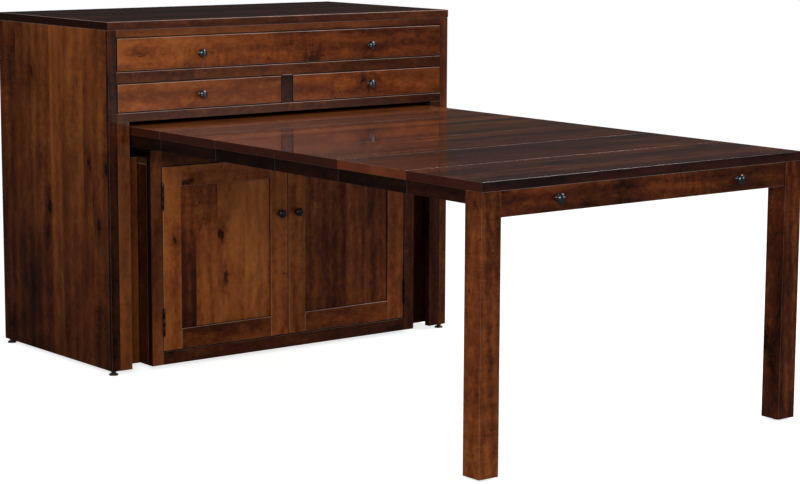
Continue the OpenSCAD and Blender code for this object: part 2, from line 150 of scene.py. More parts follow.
def solids(node):
    """Boxes of the separate solids in a CAD node, as (lowest, highest) corners, sorted by place."""
    mesh = frame["nodes"][node].data
    groups = {}

    def root(key):
        while groups[key] != key:
            groups[key] = groups[groups[key]]
            key = groups[key]
        return key

    keys = [tuple(round(c, 5) for c in v.co) for v in mesh.vertices]
    for key in keys:
        groups.setdefault(key, key)
    for face in mesh.polygons:
        first = root(keys[face.vertices[0]])
        for index in face.vertices[1:]:
            groups[root(keys[index])] = first
    found = {}
    for key in groups:
        found.setdefault(root(key), []).append(key)
    boxes = []
    for points in found.values():
        lo = Vector([min(p[i] for p in points) for i in range(3)])
        hi = Vector([max(p[i] for p in points) for i in range(3)])
        boxes.append((lo, hi))
    return sorted(boxes, key=lambda b: tuple(round(c, 4) for c in (b[0] + b[1])))


class Nodes:
    """Small helper that builds a shader tree."""

    def __init__(self, tree):
        self.tree = tree

    def add(self, kind, values=None, **props):
        """A node; values are numbers, or sockets to link, by input name or number."""
        node = self.tree.nodes.new(kind)
        for key, value in props.items():
            setattr(node, key, value)
        for key, value in (values or {}).items():
            if isinstance(value, bpy.types.NodeSocket):
                self.tree.links.new(value, node.inputs[key])
            else:
                node.inputs[key].default_value = value
        return node

    def attribute(self, name):
        """A number that each board carries on its mesh."""
        return self.add("ShaderNodeAttribute", attribute_name=name).outputs["Fac"]

    def mix(self, share, low, high, blend="MIX"):
        """One colour laid over another."""
        values = {0: share, 6: low, 7: high}
        return self.add("ShaderNodeMix", values, data_type="RGBA", blend_type=blend).outputs[2]

    def math(self, operation, a, b=0.0, clamp=False):
        """One sum, product or other operation on two numbers."""
        return self.add("ShaderNodeMath", {0: a, 1: b}, operation=operation, use_clamp=clamp).outputs[0]

    def noise(self, vector, scale, detail=2.0, rough=0.5, distortion=0.0):
        """Noise from zero to one."""
        node = self.add("ShaderNodeTexNoise", {
            "Vector": vector, "Scale": scale, "Detail": detail, "Roughness": rough, "Distortion": distortion})
        return node.outputs["Fac"]

    def stretch(self, vector, scale):
        """A place scaled along each axis."""
        return self.add("ShaderNodeVectorMath", {0: vector, 1: scale}, operation="MULTIPLY").outputs[0]

    def ramp(self, fac, stops):
        """A colour from stops (place, colour)."""
        node = self.add("ShaderNodeValToRGB", {"Fac": fac})
        points = node.color_ramp.elements
        while len(points) < len(stops):
            points.new(0.5)
        for point, (place, colour) in zip(points, stops):
            point.position = place
            point.color = (*colour, 1.0)
        return node.outputs["Color"]

    def span(self, value, low, high, to_low=0.0, to_high=1.0):
        """A soft step between two values."""
        return self.add("ShaderNodeMapRange", {
            "Value": value, "From Min": low, "From Max": high, "To Min": to_low, "To Max": to_high},
            interpolation_type="SMOOTHSTEP").outputs["Result"]


def new_material(name):
    """An empty material and the helper that fills its tree."""
    material = bpy.data.materials.new(name)
    material.use_nodes = True
    material.node_tree.nodes.clear()
    return material, Nodes(material.node_tree)


# Stains: colours from mineral streak to bright figure, strength of the figure, roughness, coat weight,
# how far the edges are lightened (wear, and a painted highlight), the share of that on upright edges,
# strength of the fine layers of the figure, and scale of its clouds across the grain
STAINS = {
    "red": dict(
        stops=[(0.0, (0.016, 0.005, 0.003)), (0.30, (0.066, 0.018, 0.006)),
               (0.60, (0.165, 0.050, 0.013)), (1.0, (0.340, 0.125, 0.030))],
        figure=1.0, rough=0.24, coat=0.10, rub=1.2, upright=0.45, fine=1.0, cloud=17.0),
    "side": dict(
        stops=[(0.0, (0.012, 0.004, 0.003)), (0.30, (0.050, 0.014, 0.005)),
               (0.60, (0.110, 0.034, 0.010)), (1.0, (0.250, 0.090, 0.022))],
        figure=1.05, rough=0.26, coat=0.08, rub=0.8, upright=0.12, fine=0.6, cloud=9.5),
    "dark": dict(
        stops=[(0.0, (0.007, 0.003, 0.0025)), (0.30, (0.022, 0.007, 0.004)),
               (0.60, (0.058, 0.018, 0.008)), (1.0, (0.190, 0.066, 0.019))],
        figure=0.8, rough=0.24, coat=0.10, rub=1.2, upright=0.12, fine=1.0, cloud=19.0),
    "top": dict(
        stops=[(0.0, (0.010, 0.003, 0.003)), (0.30, (0.046, 0.011, 0.006)),
               (0.60, (0.120, 0.031, 0.012)), (1.0, (0.330, 0.112, 0.034))],
        figure=0.8, rough=0.30, coat=1.0, rub=0.5, upright=0.12, fine=0.35, cloud=19.0),
    "maple": dict(
        stops=[(0.0, (0.260, 0.150, 0.075)), (0.30, (0.440, 0.290, 0.160)),
               (0.60, (0.560, 0.400, 0.240)), (1.0, (0.640, 0.480, 0.310))],
        figure=0.6, rough=0.45, coat=0.0, rub=0.2, upright=0.12, fine=1.0, cloud=19.0),
    "ply": dict(
        stops=[(0.0, (0.040, 0.018, 0.009)), (0.30, (0.090, 0.042, 0.020)),
               (0.60, (0.150, 0.074, 0.034)), (1.0, (0.220, 0.115, 0.054))],
        figure=0.6, rough=0.50, coat=0.0, rub=0.2, upright=0.12, fine=1.0, cloud=19.0),
}
WOODS = {}
# Share of the ramp that holds a stain's own stops; the rest carries them on, for the lightest boards
RAMP_SHARE = 0.7
# Place on the ramp of a board of tone zero
MIDDLE = 0.55
HUES = [(0.0, (1.14, 0.78, 0.60)), (1.0, (1.04, 0.96, 0.76))]
# Colour of the rounded edges: worn stain, and a painted highlight that is strongest where they face up
EDGE_WEAR_AND_HIGHLIGHT = (0.62, 0.42, 0.33, 1.0)

# Reach and strength of the darkening in gaps and corners, found by ambient occlusion: painted shade, with the
# dark glaze that stays there
SHADE_AND_GLAZE_REACH = 8 * MM
SHADE_AND_GLAZE = 0.90
SHADE_AND_GLAZE_FROM, SHADE_AND_GLAZE_TO = 0.34, 0.86

# How far each board's seed shifts the pattern, and how the grain is bent
SEED_SHIFT = (13.7, 7.3, 5.1)
WARP = 0.030
WARP_ALONG, WARP_ACROSS = 1.4, 4.5
RING_TILT = (0.07, 0.05, 0.06)
RING_STRETCH = (4.0, 4.0, 4.0)
RINGS = {"Scale": 2.6, "Distortion": 3.0, "Detail": 3.0, "Detail Scale": 1.2, "Detail Roughness": 0.6}

# Layers of the figure: scale along and across the grain, detail, roughness and distortion of the noise
LAYERS = {
    "wide": (1.1, 6.0, 3.0, 0.55, 0.0), "mottle": (42.0, 70.0, 4.0, 0.62, 0.0),
    "curl": (60.0, 14.0, 1.0, 0.5, 0.8), "curled": (2.0, 5.0, 1.0, 0.5, 0.0),
    "fibre": (9.0, 300.0, 2.0, 0.6, 0.0), "pores": (70.0, 1300.0, 1.0, 0.5, 0.0),
    "streak": (2.2, 34.0, 3.0, 0.6, 0.6), "patch": (2.6, 8.0, 2.0, 0.5, 0.0),
    "flecks": (60.0, 95.0, 2.0, 0.5, 0.0), "hue": (2.4, 9.0, 2.0, 0.5, 0.0),
}
CLOUD_ALONG = 6.5
CLOUD_NOISE = (6.0, 0.68, 0.4)
# Noise values at which some layers start to show and are full
SHOWN = {"curled": (0.48, 0.62), "flecks": (0.64, 0.74), "pores": (0.60, 0.70), "streak": (0.60, 0.76),
         "patch": (0.46, 0.62)}
# How far the layers lighten or darken the stain, and which of them are fine
BOTH_WAYS = {"wide": 0.95, "cloud": 0.88, "curl": 0.36, "mottle": 0.58, "fibre": 0.10, "rings": 0.14}
DARKER = {"flecks": 0.30, "streak": 0.20, "core": 0.42, "halo": 0.20, "pores": 0.03}
FINE_LAYERS = ("mottle", "fibre", "flecks", "streak", "pores")

# Knots: scale of their cells, which cells have one, how ragged they are, where the knot and the darker wood
# round it start and are full
KNOT_SCALE = (4.5, 9.0)
KNOT_CHOSEN = (0.40, 0.44)
KNOT_RAGGED = 0.22
KNOT_CORE = (0.13, 0.06)
KNOT_HALO = (0.42, 0.08)

# End grain: how much of the clouds and fibres it shows, its own tone, and how square to the grain it faces
END_FIGURE = 0.22
END_TONE = 0.05
END_FACING = (0.70, 0.92)

# Rounded edges, lightened by wear and a painted highlight: how little they face along any axis, and how far
# up
EDGE_TURN = (0.97, 0.84)
EDGE_UPWARD = (-0.1, 0.4)
# Relief and lacquer of the wood
WOOD_BUMP = {"Strength": 0.06, "Distance": 0.5 * MM}
CLOUD_RELIEF = 0.6
FIBRE_ROUGH = 0.10
LACQUER = {"Specular IOR Level": 0.30, "Coat Roughness": 0.06}

# Metal: noise of its fine mottle and of its worn clouds, where these start and are full, how worn they are
METAL_MOTTLE = (420.0, 4.0, 0.6)
METAL_CLOUD = (70.0, 3.0, 0.5)
METAL_WORN = (0.50, 0.75)
METAL_WEAR = 0.30
# Values of the mottle between which the roughness changes, and how far it goes below and above its middle
METAL_SPREAD = (0.2, 0.8)
METAL_SMOOTHER, METAL_ROUGHER = 0.06, 0.10
METAL_BUMP = {"Strength": 0.12, "Distance": 0.3 * MM}


def board_place(n, grain):
    """Object place shifted by the board's seed and warped a little, so that no grain runs dead straight."""
    place = n.add("ShaderNodeTexCoord").outputs["Object"]
    seed = n.attribute("seed")
    offsets = [n.math("MULTIPLY", seed, shift) for shift in SEED_SHIFT]
    shift = n.add("ShaderNodeCombineXYZ", {0: offsets[0], 1: offsets[1], 2: offsets[2]}).outputs[0]
    place = n.add("ShaderNodeVectorMath", {0: place, 1: shift}, operation="ADD").outputs[0]
    size = [WARP_ACROSS] * 3
    size[AXES[grain]] = WARP_ALONG
    warp = n.add("ShaderNodeTexNoise", {"Vector": n.stretch(place, size), "Scale": 1.0, "Detail": 2.0})
    warp = n.add("ShaderNodeVectorMath", {0: warp.outputs["Color"], 1: (0.5, 0.5, 0.5)}, operation="SUBTRACT")
    warp = n.stretch(warp.outputs[0], (WARP, WARP, WARP))
    return n.add("ShaderNodeVectorMath", {0: place, 1: warp}, operation="ADD").outputs[0]


def knots(n, scaled, mottle):
    """Small ragged dark knots and the darker wood round them."""
    cells = n.add("ShaderNodeTexVoronoi", {"Vector": scaled(*KNOT_SCALE), "Scale": 1.0, "Randomness": 1.0})
    chosen = n.add("ShaderNodeSeparateColor", {"Color": cells.outputs["Color"]}).outputs[0]
    chosen = n.span(chosen, *KNOT_CHOSEN)
    ragged = n.math("MULTIPLY", n.math("SUBTRACT", mottle, 0.5), KNOT_RAGGED)
    distance = n.math("ADD", cells.outputs["Distance"], ragged)
    core = n.math("MULTIPLY", n.span(distance, *KNOT_CORE), chosen)
    halo = n.math("MULTIPLY", n.span(distance, *KNOT_HALO), chosen)
    return core, halo


def growth_rings(n, place, grain):
    """Soft rings of the tree, a little askew to the board."""
    tilted = n.add("ShaderNodeMapping", {"Vector": place, "Rotation": RING_TILT}).outputs[0]
    values = {"Vector": n.stretch(tilted, RING_STRETCH), **RINGS}
    wave = n.add("ShaderNodeTexWave", values, wave_type="RINGS", rings_direction=grain.upper())
    return wave.outputs["Fac"]


def figure_layers(n, look, grain):
    """The separate layers of the wood's figure, each from zero to one."""
    place = board_place(n, grain)

    def scaled(along, across):
        size = [across] * 3
        size[AXES[grain]] = along
        return n.stretch(place, size)

    layers = {"cloud": n.noise(scaled(CLOUD_ALONG, look["cloud"]), 1.0, *CLOUD_NOISE)}
    for name, (along, across, *noise) in LAYERS.items():
        layers[name] = n.noise(scaled(along, across), 1.0, *noise)
    for name, (start, full) in SHOWN.items():
        layers[name] = n.span(layers[name], start, full)
    curl = n.math("MULTIPLY", n.math("SUBTRACT", layers["curl"], 0.5), layers["curled"])
    layers["curl"] = n.math("ADD", curl, 0.5)
    layers["flecks"] = n.math("MULTIPLY", layers["flecks"], layers["curled"])
    layers["streak"] = n.math("MULTIPLY", layers["streak"], layers["patch"])
    layers["core"], layers["halo"] = knots(n, scaled, layers["mottle"])
    layers["rings"] = growth_rings(n, place, grain)
    return layers


def figure(n, layers, look):
    """Where on the stain's ramp the wood lies, from the board's tone and the layers of its figure."""
    def weighted(value, name, table):
        fine = look["fine"] if name in FINE_LAYERS else 1.0
        return n.math("MULTIPLY", value, table[name] * fine * look["figure"])

    fac = n.math("ADD", n.attribute("tone"), MIDDLE)
    for name in BOTH_WAYS:
        centred = n.math("SUBTRACT", layers[name], 0.5)
        fac = n.math("ADD", fac, weighted(centred, name, BOTH_WAYS))
    for name in DARKER:
        fac = n.math("SUBTRACT", fac, weighted(layers[name], name, DARKER))
    return fac


def with_end_grain(n, fac, layers, grain):
    """The place on the ramp, changed on the board's ends, which show clouds and pores but no figure."""
    normal = n.add("ShaderNodeTexCoord").outputs["Normal"]
    facing = n.add("ShaderNodeSeparateXYZ", {0: normal}).outputs[AXES[grain]]
    end = n.span(n.math("ABSOLUTE", facing), *END_FACING)
    end_fac = n.math("MULTIPLY", n.math("ADD", layers["cloud"], layers["fibre"]), END_FIGURE)
    end_fac = n.math("ADD", n.math("ADD", end_fac, END_TONE), n.attribute("end"))
    return n.add("ShaderNodeMix", {0: end, 2: fac, 3: end_fac}).outputs[0]


def worn_and_highlit_edges(n, upright):
    """Rounded edges, where the stain is worn and a highlight is painted: one on upper edges, the share
    upright on others.
    """
    normal = n.add("ShaderNodeTexCoord").outputs["Normal"]
    upward = n.add("ShaderNodeSeparateXYZ", {0: normal}).outputs[2]
    normal = n.add("ShaderNodeVectorMath", {0: normal}, operation="ABSOLUTE").outputs[0]
    parts = n.add("ShaderNodeSeparateXYZ", {0: normal}).outputs
    largest = n.math("MAXIMUM", parts[0], n.math("MAXIMUM", parts[1], parts[2]))
    return n.math("MULTIPLY", n.span(largest, *EDGE_TURN), n.span(upward, *EDGE_UPWARD, upright, 1.0))


def corner_shade_and_glaze(n):
    """White on open faces, dark in gaps and corners by their occlusion: painted shade, with the stain's glaze
    that stays there.
    """
    open_share = n.add("ShaderNodeAmbientOcclusion", {"Distance": SHADE_AND_GLAZE_REACH}, samples=6).outputs["AO"]
    return n.span(open_share, SHADE_AND_GLAZE_FROM, SHADE_AND_GLAZE_TO, 1.0 - SHADE_AND_GLAZE, 1.0)


def long_ramp(stops):
    """A stain's stops on the first part of the ramp, and one more that carries the last two on to its end."""
    near, far = stops[-2:]
    reach = (1 / RAMP_SHARE - far[0]) / (far[0] - near[0])
    beyond = tuple(b + (b - a) * reach for a, b in zip(near[1], far[1]))
    return [(place * RAMP_SHARE, colour) for place, colour in stops] + [(1.0, beyond)]


def wood(stain, grain):
    """Stained, lacquered maple with its grain along one axis; each board's own seed and tone shift it."""
    if (stain, grain) in WOODS:
        return WOODS[stain, grain]
    look = STAINS[stain]
    material, n = new_material(f"{stain}_maple_{grain}")
    layers = figure_layers(n, look, grain)
    cloud, fibre = layers["cloud"], layers["fibre"]
    fac = with_end_grain(n, figure(n, layers, look), layers, grain)
    colour = n.ramp(n.math("MULTIPLY", fac, RAMP_SHARE), long_ramp(look["stops"]))
    colour = n.mix(1.0, colour, n.ramp(layers["hue"], HUES), "MULTIPLY")
    # Darker in gaps and corners: painted shade, with the glaze left there
    colour = n.mix(1.0, colour, corner_shade_and_glaze(n), "MULTIPLY")
    # The rounded edges are lightened: wear, and a painted highlight that is strongest on upper edges
    rub = n.math("MULTIPLY", cloud, look["rub"])
    rub = n.math("MULTIPLY", worn_and_highlit_edges(n, look["upright"]), rub, clamp=True)
    colour = n.mix(rub, colour, EDGE_WEAR_AND_HIGHLIGHT)
    relief = n.math("ADD", fibre, n.math("MULTIPLY", cloud, CLOUD_RELIEF))
    bump = n.add("ShaderNodeBump", {"Height": relief, **WOOD_BUMP})
    rough = n.math("ADD", n.math("MULTIPLY", fibre, FIBRE_ROUGH), look["rough"] - FIBRE_ROUGH / 2)
    shader = n.add("ShaderNodeBsdfPrincipled", {
        "Base Color": colour, "Roughness": rough, "Normal": bump.outputs[0], "Coat Weight": look["coat"],
        **LACQUER})
    n.add("ShaderNodeOutputMaterial", {"Surface": shader.outputs[0]})
    WOODS[stain, grain] = material
    return material


def metal(name, base, rough, metallic=0.9, wear=(0.30, 0.27, 0.24)):
    """Dark cast or plated metal with a mottled, rubbed surface."""
    material, n = new_material(name)
    place = n.add("ShaderNodeTexCoord").outputs["Object"]
    mottle = n.noise(place, *METAL_MOTTLE)
    cloud = n.noise(place, *METAL_CLOUD)
    rub = n.math("MULTIPLY", n.span(cloud, *METAL_WORN), METAL_WEAR)
    colour = n.mix(rub, (*base, 1.0), (*wear, 1.0))
    bump = n.add("ShaderNodeBump", {"Height": mottle, **METAL_BUMP})
    rough = n.span(mottle, *METAL_SPREAD, rough - METAL_SMOOTHER, rough + METAL_ROUGHER)
    shader = n.add("ShaderNodeBsdfPrincipled", {
        "Base Color": colour, "Roughness": rough, "Metallic": metallic, "Normal": bump.outputs[0]})
    n.add("ShaderNodeOutputMaterial", {"Surface": shader.outputs[0]})
    return material


def plank(mesh, lo, hi, joints, slot_index, seed, tone, along):
    """Adds one board to a bmesh.

    joints names the sides, such as 'y+', that are glued to another board; tone is one value, or two from
    the board's low end to its high end along its grain, with a third for the end grain if that differs.
    """
    corners = {}
    for sx in (0, 1):
        for sy in (0, 1):
            for sz in (0, 1):
                point = (hi.x if sx else lo.x, hi.y if sy else lo.y, hi.z if sz else lo.z)
                corners[sx, sy, sz] = mesh.verts.new(point)
    seed_layer = mesh.verts.layers.float["seed"]
    tone_layer = mesh.verts.layers.float["tone"]
    end_layer = mesh.verts.layers.float["end"]
    tones = tone if isinstance(tone, tuple) else (tone, tone)
    for key, vert in corners.items():
        vert[seed_layer] = seed
        vert[tone_layer] = tones[key[along]]
        vert[end_layer] = tones[2] if len(tones) > 2 else 0.0
    weight = mesh.edges.layers.float["bevel_weight_edge"]
    sides = {}
    for axis in range(3):
        for sign in (0, 1):
            others = [a for a in range(3) if a != axis]
            loop = []
            for u, v in ((0, 0), (1, 0), (1, 1), (0, 1)):
                key = [0, 0, 0]
                key[axis] = sign
                key[others[0]] = u
                key[others[1]] = v
                loop.append(corners[tuple(key)])
            outward = (sign == 1) == (axis != 1)
            face = mesh.faces.new(loop if outward else loop[::-1])
            face.material_index = slot_index
            face.smooth = True
            sides[face] = "xyz"[axis] + "-+"[sign]
    for face in sides:
        for edge in face.edges:
            glued = any(sides[f] in joints for f in edge.link_faces)
            edge[weight] = 0.0 if glued else 1.0
            edge.smooth = not glued


def new_piece(name, mesh, materials):
    """An object in the scene from a bmesh, which is freed."""
    data = bpy.data.meshes.new(name)
    mesh.to_mesh(data)
    mesh.free()
    for material in materials:
        data.materials.append(material)
    piece = bpy.data.objects.new(name, data)
    bpy.context.scene.collection.objects.link(piece)
    return piece


def board_piece(name, node, boards, ease=EASE, seeds=None):
    """One object made of boards (lo, hi, grain, stain, joints, tone), in the place of a CAD node."""
    seeds = seeds or [random.random() for board in boards]
    mesh = bmesh.new()
    mesh.verts.layers.float.new("seed")
    mesh.verts.layers.float.new("tone")
    mesh.verts.layers.float.new("end")
    mesh.edges.layers.float.new("bevel_weight_edge")
    materials = []
    for (lo, hi, grain, stain, joints, tone), seed in zip(boards, seeds):
        material = wood(stain, grain)
        if material not in materials:
            materials.append(material)
        plank(mesh, lo, hi, joints, materials.index(material), seed, tone, AXES[grain])
    piece = new_piece(name, mesh, materials)
    bevel = piece.modifiers.new("eased edges", "BEVEL")
    bevel.limit_method = "WEIGHT"
    bevel.width = ease
    bevel.segments = EASE_SEGMENTS
    bevel.harden_normals = True
    finish_piece(piece, node)


def finish_piece(piece, node):
    """Fixes a piece to the body of a CAD node, and lets it stand for that node."""
    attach(piece, frame["nodes"][node]["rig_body"])
    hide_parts(node)


def split(lo, hi, grain, stain, across, cuts, tones):
    """Boards glued side by side between two corners; cuts are places along the axis across."""
    axis = AXES[across]
    edges = [lo[axis], *cuts, hi[axis]]
    boards = []
    for i in range(len(edges) - 1):
        a, b = lo.copy(), hi.copy()
        a[axis], b[axis] = edges[i], edges[i + 1]
        joints = {across + "-"} if i else set()
        if i < len(edges) - 2:
            joints.add(across + "+")
        boards.append((a, b, grain, stain, joints, tones[i % len(tones)]))
    return boards


# How far a joint strays from an even width, as a share of that width
UNEVEN = 0.18


def even_cuts(lo, hi, across, count):
    """Places that divide a box into a number of boards of slightly uneven widths."""
    axis = AXES[across]
    step = (hi[axis] - lo[axis]) / count
    return [lo[axis] + step * (i + random.uniform(-UNEVEN, UNEVEN)) for i in range(1, count)]


# Single boards: node, grain, stain, tone of each solid or its two tones along the grain
SINGLE_BOARDS = [
    ("top_rail", "x", "dark", [(0.42, 0.12)]), ("middle_rail", "x", "dark", [(0.16, 0.0)]),
    ("bay_rail", "x", "dark", [(0.10, -0.02)]), ("drawer_divider", "z", "dark", [-0.14]),
    ("bay_stiles", "z", "dark", [(0.27, 0.20), -0.08]),
    ("cabinet_stiles", "z", "dark", [(0.42, 0.24), (-0.02, -0.02)]),
    ("cabinet_top_rail", "x", "dark", [0.02]), ("cabinet_base_rail", "x", "dark", [-0.08]),
    ("recess_backs", "z", "dark", [(0.34, 0.40), -0.05]), ("cabinet_sides", "z", "dark", [-0.12, -0.2]),
    ("back_panel", "z", "ply", [0.0]), ("drawer_web", "x", "ply", [0.0]), ("bay_deck", "x", "ply", [0.0]),
    ("drawer_partition", "y", "ply", [0.0]), ("cabinet_deck", "x", "ply", [-0.1]),
    ("cabinet_floor", "x", "ply", [0.0]), ("drawer_guides", "y", "maple", [0.0]),
    ("slide_cleats", "y", "maple", [0.0]),
    # The right leg's darker tone is partly painted shade, from light falling from the left
    ("rear_runners", "y", "maple", [0.0]), ("right_leg", "z", "red", [-0.24]),
    # The left leg is darker towards its top: painted shade under the table top
    ("front_apron", "x", "red", [(-0.12, -0.30)]), ("left_leg", "z", "red", [(0.06, -0.18)]),
    # The rear skirts are darker than the front ones: painted shade under the console's bay
    ("front_skirts", "y", "dark", [SKIRT_TONE]), ("rear_skirts", "y", "dark", [-0.58]),
    # The wide drawer front is darker to the right: partly painted shade, from light falling from the left
    ("wide_drawer_front", "x", "red", [(0.20, -0.38)]), ("left_drawer_front", "x", "red", [0.07]),
    ("right_drawer_front", "x", "red", [-0.10]),
]


def stile_with_painted_shade(lo, hi, tone):
    """A face stile of the leaf cabinet, with painted shade on its outer side, where the shade of a leg recess
    falls.
    """
    if lo.x < 0:
        return split(lo, hi, "z", "dark", "x", [lo.x + PAINTED_SHADE_DEPTH], [PAINTED_SHADE_TONE, tone])
    return split(lo, hi, "z", "dark", "x", [hi.x - PAINTED_SHADE_DEPTH], [tone, PAINTED_SHADE_TONE])


def single_boards():
    """All nodes of which each solid is one board."""
    for node, grain, stain, tones in SINGLE_BOARDS:
        boards, seeds = [], []
        for i, (lo, hi) in enumerate(solids(node)):
            tone = tones[i % len(tones)]
            # The stiles' outer sides get a darker skin of painted shade
            if node == "cabinet_stiles":
                parts = stile_with_painted_shade(lo, hi, tone)
            else:
                parts = [(lo, hi, grain, stain, set(), tone)]
            boards += parts
            seeds += [random.random()] * len(parts)
        ease = SHARP_EASE if node in SHARP_BOARDS else EASE
        board_piece(f"{node}_wood", node, boards, ease=ease, seeds=seeds)


# Glued joints of the side panels, in metres behind the front plane, and the boards' tones
SIDE_JOINTS = [0.012, 0.100, 0.153, 0.284, 0.353, 0.568]
SIDE_TONES = [(-0.23, 0.25), (-0.14, 0.30), (-0.04, 0.52), (0.02, 0.46), (-0.30, 0.12), (-0.30, -0.10)]
FRONT_STRIP_TONES = {"left_side_panel": -0.30, "right_side_panel": 0.0}


def side_panels():
    """The console's sides, glued up of upright boards."""
    for node in ("left_side_panel", "right_side_panel"):
        lo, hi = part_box(node)
        cuts = [lo.y + joint for joint in SIDE_JOINTS]
        tones = [FRONT_STRIP_TONES[node]] + SIDE_TONES
        board_piece(f"{node}_wood", node, split(lo, hi, "z", "side", "y", cuts, tones))


CONSOLE_TOP_TONES = [0.09, -0.10, 0.12, -0.16, 0.04, -0.18]
CONSOLE_TOP_EASE = 2.4 * MM


def console_top():
    """The console's top slab, glued up of boards side by side."""
    lo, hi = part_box("console_top")
    cuts = even_cuts(lo, hi, "y", len(CONSOLE_TOP_TONES))
    boards = split(lo, hi, "x", "dark", "y", cuts, CONSOLE_TOP_TONES)
    board_piece("console_top_wood", "console_top", boards, ease=CONSOLE_TOP_EASE)


# Boards of each table section from front to back, with their tones; a third tone is for the end grain
BOARDS_PER_SECTION = 4
TABLE_TONES = {
    "front_top": [-0.44, 0.0, 0.14, -0.10, 0.06],
    "leaf_1": [(0.14, 0.14, 0.34), (-0.06, -0.06, 0.40), (0.06, 0.06, 0.32), (-0.12, -0.12, 0.36)],
    "leaf_2": [0.06, 0.16, -0.04, 0.08], "leaf_3": [0.0, 0.14, 0.18, -0.06],
    # The last leaf and the rear top are lighter: partly a painted reflection of the console's front in the
    # table top
    "leaf_4": [0.34, 0.18, 0.30, 0.22], "rear_top": [0.58, 0.46, 0.54, 0.48],
}
# Less ease than on the other boards, so that the seams between the leaves stay fine
TABLE_EASE = 0.9 * MM
# Air left under the boards, so that they slide over the rails without touching
RAIL_CLEARANCE = 0.3 * MM
# Depth of the front section's dark front strip
TABLE_LIPPING = 12 * MM


def table_boards():
    """The table's sections and leaves with the skirts that are part of them."""
    for node, tones in TABLE_TONES.items():
        boxes = solids(node)
        top = max(boxes, key=lambda b: b[1].x - b[0].x)
        lo, hi = top
        lo = lo + Vector((0, 0, RAIL_CLEARANCE))
        cuts = even_cuts(lo, hi, "y", BOARDS_PER_SECTION)
        if node == "front_top":
            cuts = [lo.y + TABLE_LIPPING] + cuts
        boards = split(lo, hi, "x", "top", "y", cuts, tones)
        for box in boxes:
            if box is not top:
                boards.append((box[0], box[1], "y", "dark", set(), SKIRT_TONE))
        board_piece(f"{node}_wood", node, boards, ease=TABLE_EASE)


BOX_EASE = 1.0 * MM
# How far the tones of the drawer boxes' boards stray
BOX_TONES = 0.1


def drawer_boxes():
    """The boxes behind the drawer fronts, of clear maple."""
    for side in ("wide", "left", "right"):
        node = f"{side}_drawer_box"
        boards = []
        for lo, hi in solids(node):
            size = hi - lo
            grain = "y" if size.y > size.z and size.x < size.z else "x"
            boards.append((lo, hi, grain, "maple", set(), random.uniform(-BOX_TONES, BOX_TONES)))
        board_piece(f"{node}_wood", node, boards, ease=BOX_EASE)


# Doors: tones of the stiles from left to right, of the rails from below and of the panel's boards, joints
# of the panel as shares of its width, and how much of its edge, hidden in the groove, is left off
DOOR_TONES = {"left": dict(stiles=[(0.42, 0.56), 0.20], rails=[-0.20, 0.22]),
              "right": dict(stiles=[0.16, 0.10], rails=[-0.12, 0.0])}
PANEL_TONES = {"left": [(-0.38, 0.18), (0.25, 0.02), (0.28, 0.46), (0.24, 0.46)],
               "right": [(-0.24, -0.06), (-0.34, -0.04), (-0.06, 0.02), (-0.18, -0.12)]}
PANEL_BOARDS = {"left": [0.17, 0.41, 0.72], "right": [0.20, 0.50, 0.76]}
PANEL_IN_GROOVE = 9 * MM


def door_frame(side):
    """Stiles and rails of a door."""
    node = f"{side}_door_frame"
    tones = {kind: iter(row) for kind, row in DOOR_TONES[side].items()}
    boards = []
    for lo, hi in solids(node):
        upright = hi.z - lo.z > hi.x - lo.x
        grain, kind = ("z", "stiles") if upright else ("x", "rails")
        boards.append((lo, hi, grain, "red", set(), next(tones[kind])))
    board_piece(f"{node}_wood", node, boards)


def door_panel(side):
    """Flat panel of a door, glued up of upright boards; it ends a little inside its groove."""
    node = f"{side}_door_panel"
    lo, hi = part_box(node)
    inset = Vector((PANEL_IN_GROOVE, 0, PANEL_IN_GROOVE))
    lo, hi = lo + inset, hi - inset
    cuts = [lo.x + (hi.x - lo.x) * share for share in PANEL_BOARDS[side]]
    boards = split(lo, hi, "z", "red", "x", cuts, PANEL_TONES[side])
    board_piece(f"{node}_wood", node, boards, ease=SHARP_EASE)


def doors():
    """Both doors of the leaf cabinet."""
    for side in ("left", "right"):
        door_frame(side)
        door_panel(side)


def lathe(name, profile, place, axis, material, segments=48):
    """Turned mesh: profile is (radius, height) pairs along the axis, closed where the radius is zero."""
    mesh = bmesh.new()
    rings = []
    for radius, height in profile:
        if radius < ON_AXIS:
            rings.append([mesh.verts.new((0, 0, height))])
            continue
        ring = []
        for i in range(segments):
            angle = 2 * math.pi * i / segments
            ring.append(mesh.verts.new((radius * math.cos(angle), radius * math.sin(angle), height)))
        rings.append(ring)
    for low, high in zip(rings, rings[1:]):
        for i in range(segments):
            j = (i + 1) % segments
            if len(low) == 1:
                mesh.faces.new((low[0], high[j], high[i]))
            elif len(high) == 1:
                mesh.faces.new((low[i], low[j], high[0]))
            else:
                mesh.faces.new((low[i], low[j], high[j], high[i]))
    bmesh.ops.recalc_face_normals(mesh, faces=mesh.faces)
    for face in mesh.faces:
        face.smooth = True
    turn = Vector((0, 0, 1)).rotation_difference(Vector(axis)).to_matrix().to_4x4()
    mesh.transform(Matrix.Translation(Vector(place)) @ turn)
    return new_piece(name, mesh, [material])


def arc(centre, radius, start, stop, steps, squeeze=1.0):
    """Points of an arc as (radius from the axis, height) pairs; angles in degrees."""
    points = []
    for i in range(steps + 1):
        angle = math.radians(start + (stop - start) * i / steps)
        points.append((centre[0] + radius * math.cos(angle), centre[1] + squeeze * radius * math.sin(angle)))
    return points


def knob_profile(radius, proud):
    """Turned knob: a small rosette, a waisted neck and a domed head."""
    foot = [(radius * share, height * MM) for share, height in KNOB_FOOT]
    middle = proud * KNOB_HEAD_AT
    head = arc((0, middle), radius, KNOB_HEAD_START, 90, 18, (proud - middle) / radius)
    head[-1] = (0, proud)
    return foot + head


